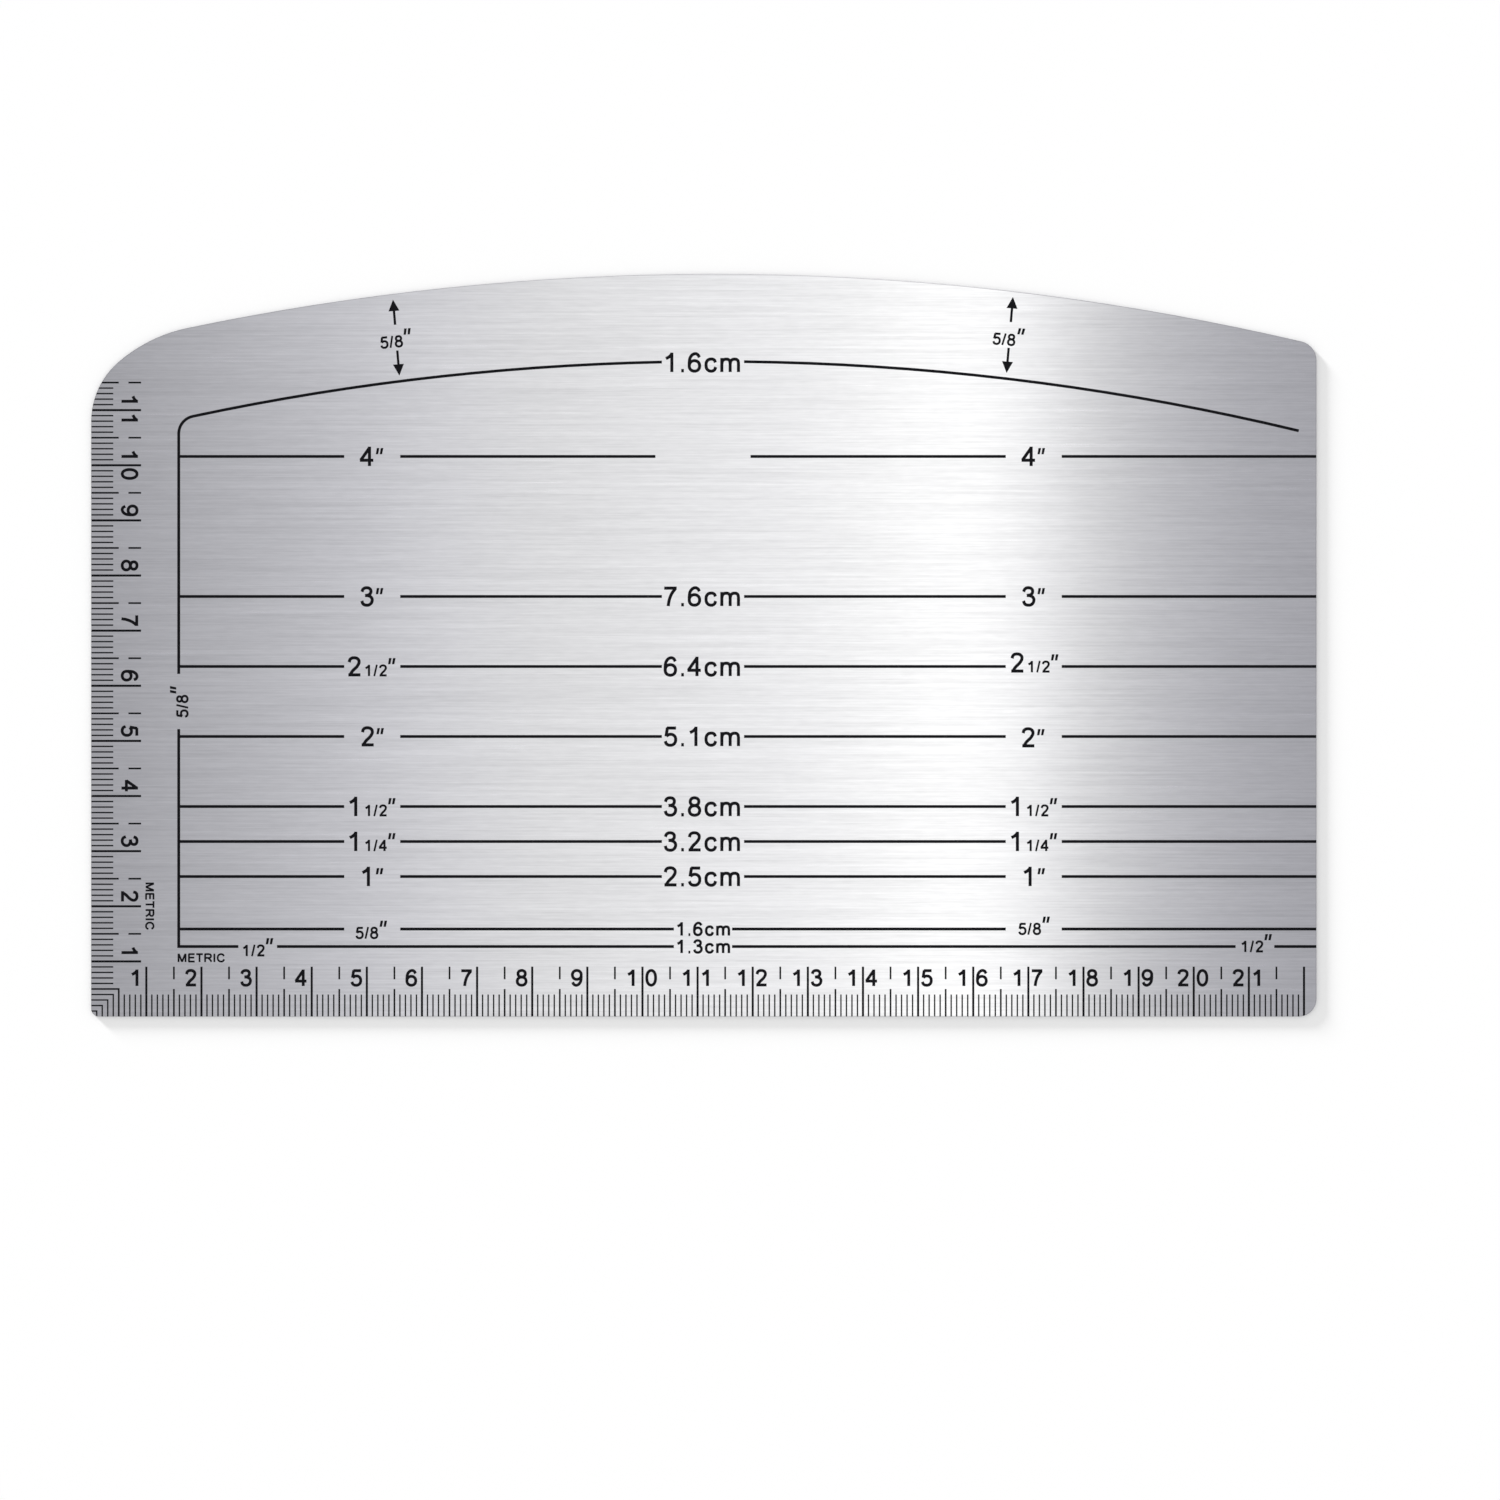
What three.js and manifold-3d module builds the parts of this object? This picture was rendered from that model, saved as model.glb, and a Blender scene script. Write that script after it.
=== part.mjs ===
// Hot hem gauge: one sheet of stainless steel that fabric is folded over and pressed against.
// Hem lines are etched parallel to the straight edge, the left side and the curved edge, and
// centimetre scales are etched along the straight edge and the left side. Every hem line and
// arrow is filled flush with black enamel, and each unbroken stretch of enamel is one mesh.
// Lengths are in millimetres. On the sheet x runs from the left side, y from the straight
// edge and z from the back; the finished gauge is centred over the origin and lies on its back.

import * as THREE from "three";
import { mergeVertices } from "three/addons/utils/BufferGeometryUtils.js";
import Module from "manifold-3d";

const wasm = await Module();
wasm.setup();

// Sheet
const SHEET_WIDTH = 222.25;
const SHEET_HEIGHT = 134.7;
const SHEET_THICKNESS = 0.6;
const EDGE_BREAK = 0.12;
const CROWN_RADIUS = 470;
const CROWN_FROM_LEFT = 112.95;
const LOWER_LEFT_RADIUS = 1.4;
const LOWER_RIGHT_RADIUS = 3.2;
const UPPER_RIGHT_RADIUS = 3.5;
// The upper left shoulder leaves the side on a tight arc and runs into the crown on a wider one.
const SHOULDER_SIDE_RADIUS = 14.2;
const SHOULDER_TOP_RADIUS = 27.7;
const SHOULDER_TURN = THREE.MathUtils.degToRad(49);

// Etching, with the bare steel that is left between two marks
const ETCH_DEPTH = 0.1;
const LINE_WIDTH = 0.53;
const MARK_CLEARANCE = 1;

// Hem lines: how deep inside the edge that it follows each line lies. The curved and the side hem
// are 5/8 in.
const CURVED_HEM = 15.875;
const SIDE_HEM = 15.875;
const LEVEL_HEMS = {
  four_inch: 101.6,
  three_inch: 76.2,
  two_and_half_inch: 63.5,
  two_inch: 50.8,
  one_and_half_inch: 38.1,
  one_and_quarter_inch: 31.75,
  one_inch: 25.4,
  five_eighths_inch: 15.875,
  half_inch: 12.7,
};
const LINE_CORNER_RADIUS = 3.2;
const CURVED_LINE_STOP = 3.2;

// Gaps in the lines, each centred on the label that is printed in it. The labels and arrows are
// spaced about a line that lies a little to the left of the sheet's middle. The side line's label
// stands between the 2 in and 2 1/2 in lines, and the side line runs on by a stub past each of them.
const LABELS_LEFT_OF_MIDDLE = 0.15;
const INCH_LABEL_GAP = 10.15;
const INCH_LABEL_OFFSET = 60;
const METRIC_LABEL_GAP = 14.9;
const SMALL_METRIC_LABEL_GAP = 10.55;
const UNLABELLED_GAP = 17.25;
const HALF_INCH_LABEL_GAP = 7;
const HALF_INCH_LABEL_FROM_LEFT = 30.2;
const HALF_INCH_LABEL_FROM_RIGHT = 11.15;
const SIDE_LINE_STUB = 1.35;

// Arrows that measure the curved hem
const ARROW_OFFSET = 55.65;
const ARROW_TILT = THREE.MathUtils.degToRad(4.8);
const ARROW_LENGTH = 4.6;
const ARROW_SHAFT_WIDTH = 0.44;
const ARROW_HEAD_LENGTH = 2.1;
const ARROW_HEAD_WIDTH = 2;

// Centimetre scales: the ticks of one centimetre, in order, a millimetre apart
const TICK_SPACING = 1;
const MILLIMETRE_TICK = { length: 4, width: 0.26 };
const HALF_CENTIMETRE_TICK = { length: 5, width: 0.32 };
const CENTIMETRE_TICK = { length: 9.05, width: 0.4 };
const FOUR_TICKS = new Array(4).fill(MILLIMETRE_TICK);
const TICK_PATTERN = [...FOUR_TICKS, HALF_CENTIMETRE_TICK, ...FOUR_TICKS, CENTIMETRE_TICK];
const HALF_CENTIMETRE_DASH_START = 6.75;

// Modelling: the most that a chord may lie inside its arc, and how far a cut runs past the sheet
const CHORD_ERROR = 0.01;
const OVERRUN = 1;

const MIDDLE = SHEET_WIDTH / 2;
const LABEL_MIDDLE = MIDDLE - LABELS_LEFT_OF_MIDDLE;
const CROWN_CENTER = new THREE.Vector2(CROWN_FROM_LEFT, SHEET_HEIGHT - CROWN_RADIUS);
const CURVED_LINE_RADIUS = CROWN_RADIUS - CURVED_HEM;
const LINE_CORNER = centerInside(
  CURVED_LINE_RADIUS,
  LINE_CORNER_RADIUS,
  SIDE_HEM + LINE_CORNER_RADIUS,
);

const steel = new THREE.MeshStandardMaterial({ color: 0xbcbcc0, roughness: 0.32, metalness: 1 });
const enamel = new THREE.MeshStandardMaterial({ color: 0x141417, roughness: 0.5, metalness: 0 });

// Points along an arc, with both of its ends, close enough together to keep to CHORD_ERROR.
function arcPoints(center, radius, fromAngle, toAngle) {
  const largestStep = 2 * Math.acos(1 - CHORD_ERROR / radius);
  const steps = Math.max(3, Math.ceil(Math.abs(toAngle - fromAngle) / largestStep));
  return Array.from({ length: steps + 1 }, (_, i) => {
    const angle = fromAngle + ((toAngle - fromAngle) * i) / steps;
    return new THREE.Vector2(
      center.x + radius * Math.cos(angle),
      center.y + radius * Math.sin(angle),
    );
  });
}

// The centre of an arc that lies inside a larger one and touches it, given the centre's x.
function centerInside(outerRadius, radius, x) {
  const reach = outerRadius - radius;
  return new THREE.Vector2(x, CROWN_CENTER.y + Math.sqrt(reach ** 2 - (x - CROWN_CENTER.x) ** 2));
}

// The angle at which a point is seen from the centre of the crown.
function crownAngle(point) {
  return Math.atan2(point.y - CROWN_CENTER.y, point.x - CROWN_CENTER.x);
}

// The angle at which a circle about the crown's centre reaches a distance from the left side.
function crownAngleAt(x, radius) {
  return Math.acos((x - CROWN_CENTER.x) / radius);
}

// The centres of the shoulder's two arcs.
function shoulderCenters() {
  const widening = SHOULDER_TOP_RADIUS - SHOULDER_SIDE_RADIUS;
  const topX = SHOULDER_SIDE_RADIUS + widening * Math.cos(SHOULDER_TURN);
  const top = centerInside(CROWN_RADIUS, SHOULDER_TOP_RADIUS, topX);
  const sideY = top.y + widening * Math.sin(SHOULDER_TURN);
  return { top, side: new THREE.Vector2(SHOULDER_SIDE_RADIUS, sideY) };
}

// The outline of the sheet, anticlockwise from the lower end of the left side.
function sheetOutline() {
  const quarter = Math.PI / 2;
  const lowerLeft = new THREE.Vector2(LOWER_LEFT_RADIUS, LOWER_LEFT_RADIUS);
  const lowerRight = new THREE.Vector2(SHEET_WIDTH - LOWER_RIGHT_RADIUS, LOWER_RIGHT_RADIUS);
  const upperRight = centerInside(CROWN_RADIUS, UPPER_RIGHT_RADIUS, SHEET_WIDTH - UPPER_RIGHT_RADIUS);
  const shoulder = shoulderCenters();
  const turn = Math.PI - SHOULDER_TURN;
  return [
    ...arcPoints(lowerLeft, LOWER_LEFT_RADIUS, 2 * quarter, 3 * quarter),
    ...arcPoints(lowerRight, LOWER_RIGHT_RADIUS, -quarter, 0),
    ...arcPoints(upperRight, UPPER_RIGHT_RADIUS, 0, crownAngle(upperRight)),
    ...arcPoints(CROWN_CENTER, CROWN_RADIUS, crownAngle(upperRight), quarter).slice(1),
    ...arcPoints(CROWN_CENTER, CROWN_RADIUS, quarter, crownAngle(shoulder.top)).slice(1),
    ...arcPoints(shoulder.top, SHOULDER_TOP_RADIUS, crownAngle(shoulder.top), turn).slice(1),
    ...arcPoints(shoulder.side, SHOULDER_SIDE_RADIUS, turn, Math.PI).slice(1),
  ];
}

// The height at which the shoulder has come in by a distance from the left side.
function shoulderHeight(inset) {
  return shoulderCenters().side.y + Math.sqrt(inset * (2 * SHOULDER_SIDE_RADIUS - inset));
}

// A closed geometry as a solid that can be joined and cut.
function solidOf(geometry) {
  geometry.deleteAttribute("normal");
  geometry.deleteAttribute("uv");
  const merged = mergeVertices(geometry, 1e-4);
  return new wasm.Manifold(
    new wasm.Mesh({
      numProp: 3,
      vertProperties: merged.getAttribute("position").array,
      triVerts: new Uint32Array(merged.index.array),
    }),
  );
}

// A solid as a named mesh with flat facets.
function meshOf(name, solid, material) {
  const { vertProperties, triVerts } = solid.getMesh();
  const indexed = new THREE.BufferGeometry()
    .setAttribute("position", new THREE.BufferAttribute(vertProperties, 3))
    .setIndex(new THREE.BufferAttribute(triVerts, 1));
  const geometry = indexed.toNonIndexed();
  geometry.computeVertexNormals();
  const mesh = new THREE.Mesh(geometry, material);
  mesh.name = name;
  return mesh;
}

// The sheet before it is etched, with its cut edges broken on both faces.
function sheetBlank(outline) {
  const geometry = new THREE.ExtrudeGeometry(new THREE.Shape(outline), {
    depth: SHEET_THICKNESS - 2 * EDGE_BREAK,
    bevelThickness: EDGE_BREAK,
    bevelSize: EDGE_BREAK,
    bevelOffset: -EDGE_BREAK,
    bevelSegments: 2,
  });
  return solidOf(geometry.translate(0, 0, EDGE_BREAK));
}

// The cut that etches a closed outline into the front of the sheet.
function etchedOutline(points) {
  const geometry = new THREE.ExtrudeGeometry(new THREE.Shape(points), {
    depth: ETCH_DEPTH + OVERRUN,
    bevelEnabled: false,
  });
  return geometry.translate(0, 0, SHEET_THICKNESS - ETCH_DEPTH);
}

// The cut that etches a rectangle between two corners.
function etchedBar(x1, y1, x2, y2) {
  const depth = ETCH_DEPTH + OVERRUN;
  const geometry = new THREE.BoxGeometry(x2 - x1, y2 - y1, depth);
  return geometry.translate((x1 + x2) / 2, (y1 + y2) / 2, SHEET_THICKNESS - ETCH_DEPTH + depth / 2);
}

// A hem line that runs level between two distances from the left side.
function levelLine(height, from, to) {
  return solidOf(etchedBar(from, height - LINE_WIDTH / 2, to, height + LINE_WIDTH / 2));
}

// Where a level line ends: past the right side of the sheet, or clear of the curved line if that
// comes down to it first.
function levelEnd(height) {
  const reach = CURVED_LINE_RADIUS - LINE_WIDTH / 2;
  const rise = height + LINE_WIDTH / 2 + MARK_CLEARANCE - CROWN_CENTER.y;
  return Math.min(SHEET_WIDTH + OVERRUN, CROWN_CENTER.x + Math.sqrt(reach ** 2 - rise ** 2));
}

// The stretches of a level line that its gaps leave, from the side line to its end.
function levelStretches(height, gaps) {
  const stops = gaps.flatMap(([center, width]) => [center - width / 2, center + width / 2]);
  const ends = [SIDE_HEM, ...stops, levelEnd(height)];
  return gaps.map((_, i) => [ends[2 * i], ends[2 * i + 1]]).concat([ends.slice(-2)]);
}

// The level hem lines with their gaps as [centre, width]. Each starts at the side line, so those
// that lie above the side line's corner are left out.
function levelLines() {
  const leftLabel = [LABEL_MIDDLE - INCH_LABEL_OFFSET, INCH_LABEL_GAP];
  const rightLabel = [LABEL_MIDDLE + INCH_LABEL_OFFSET, INCH_LABEL_GAP];
  const smallLabel = [LABEL_MIDDLE, SMALL_METRIC_LABEL_GAP];
  const usualGaps = [leftLabel, [LABEL_MIDDLE, METRIC_LABEL_GAP], rightLabel];
  const otherGaps = {
    four_inch: [leftLabel, [LABEL_MIDDLE, UNLABELLED_GAP], rightLabel],
    five_eighths_inch: [leftLabel, smallLabel, rightLabel],
    half_inch: [
      [HALF_INCH_LABEL_FROM_LEFT, HALF_INCH_LABEL_GAP],
      smallLabel,
      [SHEET_WIDTH - HALF_INCH_LABEL_FROM_RIGHT, HALF_INCH_LABEL_GAP],
    ],
  };
  return Object.entries(LEVEL_HEMS)
    .filter(([, height]) => height + MARK_CLEARANCE < LINE_CORNER.y)
    .map(([name, height]) => ({ name, height, gaps: otherGaps[name] ?? usualGaps }));
}

// The stretch of the curved line that ends at the right of the sheet.
function curvedLineRight() {
  const from = crownAngleAt(LABEL_MIDDLE + METRIC_LABEL_GAP / 2, CURVED_LINE_RADIUS);
  const to = crownAngleAt(SHEET_WIDTH - CURVED_LINE_STOP, CURVED_LINE_RADIUS);
  return solidOf(
    etchedOutline([
      ...arcPoints(CROWN_CENTER, CURVED_LINE_RADIUS - LINE_WIDTH / 2, from, to),
      ...arcPoints(CROWN_CENTER, CURVED_LINE_RADIUS + LINE_WIDTH / 2, to, from),
    ]),
  );
}

// The line that follows the curved edge to the left, turns its corner and comes down the side.
function curvedLineLeft(foot) {
  const half = LINE_WIDTH / 2;
  const from = crownAngleAt(LABEL_MIDDLE - METRIC_LABEL_GAP / 2, CURVED_LINE_RADIUS);
  const turn = crownAngle(LINE_CORNER);
  return solidOf(
    etchedOutline([
      ...arcPoints(CROWN_CENTER, CURVED_LINE_RADIUS + half, from, turn),
      ...arcPoints(LINE_CORNER, LINE_CORNER_RADIUS + half, turn, Math.PI).slice(1),
      new THREE.Vector2(SIDE_HEM - half, foot),
      new THREE.Vector2(SIDE_HEM + half, foot),
      ...arcPoints(LINE_CORNER, LINE_CORNER_RADIUS - half, Math.PI, turn),
      ...arcPoints(CROWN_CENTER, CURVED_LINE_RADIUS - half, turn, from).slice(1),
    ]),
  );
}

// The lower part of the side line, which turns square into the lowest hem line.
function sideLineLower(foot, top) {
  const half = LINE_WIDTH / 2;
  return solidOf(etchedBar(SIDE_HEM - half, foot - half, SIDE_HEM + half, top));
}

// All the hem lines by name. The level lines' first stretches join the side line they start at.
function hemLines() {
  const upperFoot = LEVEL_HEMS.two_and_half_inch - SIDE_LINE_STUB;
  const lowerTop = LEVEL_HEMS.two_inch + SIDE_LINE_STUB;
  const lines = levelLines();
  const lowest = Math.min(...lines.map((line) => line.height));
  const upper = [curvedLineLeft(upperFoot)];
  const lower = [sideLineLower(lowest, lowerTop)];
  const marks = [];
  for (const { name, height, gaps } of lines) {
    const [first, ...others] = levelStretches(height, gaps);
    (height > upperFoot ? upper : lower).push(levelLine(height, ...first));
    others.forEach(([from, to], i) => {
      const place = ["middle_left", "middle_right", "right"][i];
      marks.push([`${name}_line_${place}`, levelLine(height, from, to)]);
    });
  }
  return [
    ["curved_and_upper_side_line", wasm.Manifold.union(upper)],
    ["lower_side_line", wasm.Manifold.union(lower)],
    ["curved_line_right", curvedLineRight()],
    ...marks,
  ];
}

// An arrow that stands on its foot at the origin and points along +Y.
function arrowOutline() {
  const shaft = ARROW_SHAFT_WIDTH / 2;
  const head = ARROW_HEAD_WIDTH / 2;
  const neck = ARROW_LENGTH - ARROW_HEAD_LENGTH;
  return [
    [-shaft, 0],
    [shaft, 0],
    [shaft, neck],
    [head, neck],
    [0, ARROW_LENGTH],
    [-head, neck],
    [-shaft, neck],
  ].map(([x, y]) => new THREE.Vector2(x, y));
}

// The two pairs of arrows, one either side of the metric labels, that point apart across the hem.
function arrows() {
  const marks = [];
  for (const [side, sign] of [["left", -1], ["right", 1]]) {
    const radius = CROWN_RADIUS - CURVED_HEM / 2;
    const angle = crownAngleAt(LABEL_MIDDLE + sign * ARROW_OFFSET, radius);
    const outward = new THREE.Vector2(sign * Math.sin(ARROW_TILT), Math.cos(ARROW_TILT));
    for (const [end, direction] of [["outer", 1], ["inner", -1]]) {
      const foot = CURVED_HEM / 2 - MARK_CLEARANCE - ARROW_LENGTH;
      const x = CROWN_CENTER.x + radius * Math.cos(angle) + direction * foot * outward.x;
      const y = CROWN_CENTER.y + radius * Math.sin(angle) + direction * foot * outward.y;
      const turned = -sign * ARROW_TILT + (direction < 0 ? Math.PI : 0);
      const geometry = etchedOutline(arrowOutline()).rotateZ(turned).translate(x, y, 0);
      marks.push([`${side}_arrow_${end}`, solidOf(geometry)]);
    }
  }
  return marks;
}

// The bars of a scale with so many ticks as [place along the edge, start, end, width]. A tick that
// would cross the other scale's first ticks stops level with its own reading, so both scales share
// corners.
function scaleBars(tickCount) {
  const bars = [];
  for (let i = 0; i < tickCount; i++) {
    const place = (i + 1) * TICK_SPACING;
    const tick = TICK_PATTERN[i % TICK_PATTERN.length];
    const corner = place <= HALF_CENTIMETRE_TICK.length;
    bars.push([place, -OVERRUN, corner ? place + tick.width / 2 : tick.length, tick.width]);
    if (tick === HALF_CENTIMETRE_TICK && !corner) {
      bars.push([place, HALF_CENTIMETRE_DASH_START, CENTIMETRE_TICK.length, tick.width]);
    }
  }
  return bars;
}

// Both scales. The straight edge's ends at its last whole centimetre, and the side's at the last
// half centimetre before the shoulder has come in by the length of its tick.
function scales() {
  const perCentimetre = TICK_PATTERN.length;
  const perHalf = perCentimetre / 2;
  const sideReach = shoulderHeight(HALF_CENTIMETRE_TICK.length);
  const edgeTicks = perCentimetre * Math.floor(SHEET_WIDTH / (perCentimetre * TICK_SPACING));
  const sideTicks = perHalf * Math.floor(sideReach / (perHalf * TICK_SPACING));
  const alongEdge = scaleBars(edgeTicks).map(([place, start, end, width]) =>
    solidOf(etchedBar(place - width / 2, start, place + width / 2, end)),
  );
  const alongSide = scaleBars(sideTicks).map(([place, start, end, width]) =>
    solidOf(etchedBar(start, place - width / 2, end, place + width / 2)),
  );
  return [...alongEdge, ...alongSide];
}

const blank = sheetBlank(sheetOutline());
const marks = [...hemLines(), ...arrows()];
const cuts = wasm.Manifold.union([...marks.map(([, cut]) => cut), ...scales()]);

const sheet = new THREE.Group();
sheet.position.set(-MIDDLE, -SHEET_HEIGHT / 2, 0);
sheet.add(meshOf("gauge_plate", blank.subtract(cuts), steel));
for (const [name, cut] of marks) sheet.add(meshOf(name, blank.intersect(cut), enamel));

const gauge = new THREE.Group();
gauge.name = "hot_hem_gauge";
gauge.add(sheet);

export default gauge;
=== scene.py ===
"""Hot hem gauge: a brushed steel sheet with enamelled hem lines, scales and lettering."""

import math
from contextlib import contextmanager

import bpy
from bpy.props import FloatProperty, FloatVectorProperty, PointerProperty
from mathutils import Matrix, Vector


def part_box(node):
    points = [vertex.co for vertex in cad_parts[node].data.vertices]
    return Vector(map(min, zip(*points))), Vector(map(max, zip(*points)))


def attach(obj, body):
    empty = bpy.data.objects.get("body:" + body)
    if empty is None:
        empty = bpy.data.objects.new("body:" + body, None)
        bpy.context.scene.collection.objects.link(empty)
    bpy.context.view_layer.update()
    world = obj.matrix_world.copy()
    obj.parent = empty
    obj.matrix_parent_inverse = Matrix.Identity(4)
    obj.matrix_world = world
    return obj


bl_info = {
    "name": "Hot Hem Gauge",
    "version": (1, 0, 0),
    "blender": (4, 5, 0),
    "location": "3D View > Sidebar > Hem Gauge",
    "description": "Finishes the etched steel sheet and adds the enamel of its scales and its lettering",
    "category": "Add Mesh",
}

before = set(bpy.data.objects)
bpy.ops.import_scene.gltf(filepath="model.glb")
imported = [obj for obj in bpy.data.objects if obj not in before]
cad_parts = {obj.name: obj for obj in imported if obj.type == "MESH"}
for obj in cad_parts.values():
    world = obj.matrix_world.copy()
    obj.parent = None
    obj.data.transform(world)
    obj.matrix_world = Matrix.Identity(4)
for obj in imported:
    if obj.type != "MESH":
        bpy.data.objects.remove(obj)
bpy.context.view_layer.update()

SHEET_LOW, SHEET_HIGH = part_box("gauge_plate")
LEFT = SHEET_LOW.x
BOTTOM = SHEET_LOW.y
FACE = SHEET_HIGH.z
MM = 0.001
CENTIMETRE = 10 * MM
INCH = 25.4 * MM

# Points nearer than MERGE become one, and faces within the angle FLAT count as one plane.
MERGE = 1e-7
FLAT = math.radians(0.5)

# A face is level where its normal stands at least this upright.
LEVEL = 0.99

# Meshes are sorted by distance from here, as hardly any two of their points are equally far from it.
SORT_CORNER = (-0.7, -1.3, -0.4)

WHITE = (1.0, 1.0, 1.0, 1.0)

ENAMEL_NODES = [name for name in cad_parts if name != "gauge_plate"]

EDGE_CENTIMETRES = 21
SIDE_CENTIMETRES = 11
CURVED_HEM = 0.625 * INCH

# Type along the left side is turned to read downwards.
DOWNWARDS = -math.pi / 2


# Settings


def number(name, description, default, **kind):
    return FloatProperty(name=name, description=description, default=default, **kind)


def share(name, description, default):
    """A number from 0 to 1."""
    return number(name, description, default, subtype="FACTOR", min=0.0, max=1.0, precision=3)


def length(name, description, default):
    """A length in metres."""
    return number(name, description, default, subtype="DISTANCE", unit="LENGTH", precision=5)


def angle(name, description, default):
    """An angle in radians."""
    return number(name, description, default, subtype="ANGLE", unit="ROTATION")


def colour(name, description, default):
    """A colour that a shader socket takes."""
    return FloatVectorProperty(
        name=name, description=description, default=(*default, 1.0), size=4,
        subtype="COLOR", min=0.0, max=1.0,
    )


class SteelSettings(bpy.types.PropertyGroup):
    """The brushed stainless steel of the sheet"""

    dark_colour: colour("Dark Scratches", "Colour of the darker brush lines", (0.665, 0.665, 0.668))
    bright_colour: colour("Bright Scratches", "Colour of the brighter brush lines", (0.81, 0.81, 0.813))
    edge_colour: colour("Cut Edge", "Colour of the cut and broken edges", (0.56, 0.56, 0.575))
    roughness: share("Roughness", "Roughness of the brushed faces", 0.3)
    roughness_spread: share("Roughness Spread", "How far brush lines change the roughness", 0.025)
    handling: share("Handling", "How far handling changes the roughness", 0.012)
    handling_size: length("Handling Size", "Size of the places that handling leaves", 24.0 * MM)
    edge_roughness: share("Edge Roughness", "Roughness of the cut edges", 0.42)
    anisotropy: share("Anisotropy", "How far the brushing spreads a reflection across itself", 0.88)
    scratch_width: length("Scratch Width", "Width of one brush line", 0.42 * MM)
    scratch_length: length("Scratch Length", "Usual length of one brush line", 32.0 * MM)
    scratch_depth: length("Scratch Depth", "Depth of the brush lines", 0.002 * MM)
    scratch_contrast: number("Scratch Contrast", "How far bright and dark lines differ", 2.2)
    relief: share("Relief", "Strength of the brush lines' relief", 0.5)


class EnamelSettings(bpy.types.PropertyGroup):
    """The black enamel of the lines, ticks and letters"""

    colour: colour("Colour", "Colour of the enamel", (0.0045, 0.0045, 0.006))
    worn_colour: colour("Worn Colour", "Colour where the enamel is thin", (0.0085, 0.0085, 0.0105))
    roughness: share("Roughness", "Roughness of the enamel where it is smoothest", 0.5)
    dull_roughness: share("Dull Roughness", "Roughness of the enamel where it is dullest", 0.63)
    gloss: share("Gloss", "Strength of the enamel's reflections", 0.06)
    standing: length("Standing", "How far letters stand above the sheet", 0.015 * MM)
    sunk: length("Sunk", "How deep letters sit in the sheet", 0.05 * MM)
    mottle: length("Mottle", "Size of the enamel's mottling", 0.9 * MM)
    line_length: length("Line Length", "Length of the brush lines that show through", 5.0 * MM)
    line_width: length("Line Width", "Width of the brush lines that show through", 0.25 * MM)
    line_depth: length("Line Depth", "Depth of the brush lines that show through", 0.002 * MM)
    line_contrast: number("Line Contrast", "How far thick and thin enamel differ", 2.0)
    relief: share("Relief", "Strength of the relief", 0.4)


class LetteringSettings(bpy.types.PropertyGroup):
    """Sizes of the numerals and words"""

    pen: share("Pen", "Stroke width as a share of the height", 0.163)
    scale_pen: share("Scale Pen", "Stroke width of the scale numerals", 0.18)
    small_pen: share("Small Pen", "Stroke width of fractions and small labels", 0.193)
    word_pen: share("Word Pen", "Stroke width of the unit words", 0.222)
    tracking: length("Tracking", "Space added after each letter", 0.18 * MM)
    fraction_tracking: length("Fraction Tracking", "Space added in lone fractions", 0.13 * MM)
    word_tracking: length("Word Tracking", "Space added in the unit words", 0.1 * MM)
    scale_height: length("Scale Numerals", "Height of the numerals of both scales", 2.99 * MM)
    hem_height: length("Hem Numerals", "Height of whole numbers on the hem lines", 3.52 * MM)
    fraction_height: length("Fractions", "Height of the fraction in a mixed number", 2.05 * MM)
    fraction_step: length("Fraction Step", "Space before the fraction of a mixed number", 0.165 * MM)
    lone_height: length("Lone Fractions", "Height of a fraction that stands alone", 2.09 * MM)
    small_height: length("Small Centimetres", "Height of the two lowest centimetre labels", 2.43 * MM)
    word_height: length("Unit Words", "Height of the unit words beside the scales", 1.53 * MM)
    mark_height: length("Inch Marks", "Height of an inch mark", 1.13 * MM)
    mark_lift: length("Inch Mark Lift", "Height of an inch mark above the baseline", 2.14 * MM)
    mark_tuck: length("Inch Mark Tuck", "How far an inch mark is tucked in after a fraction", 0.12 * MM)


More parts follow.
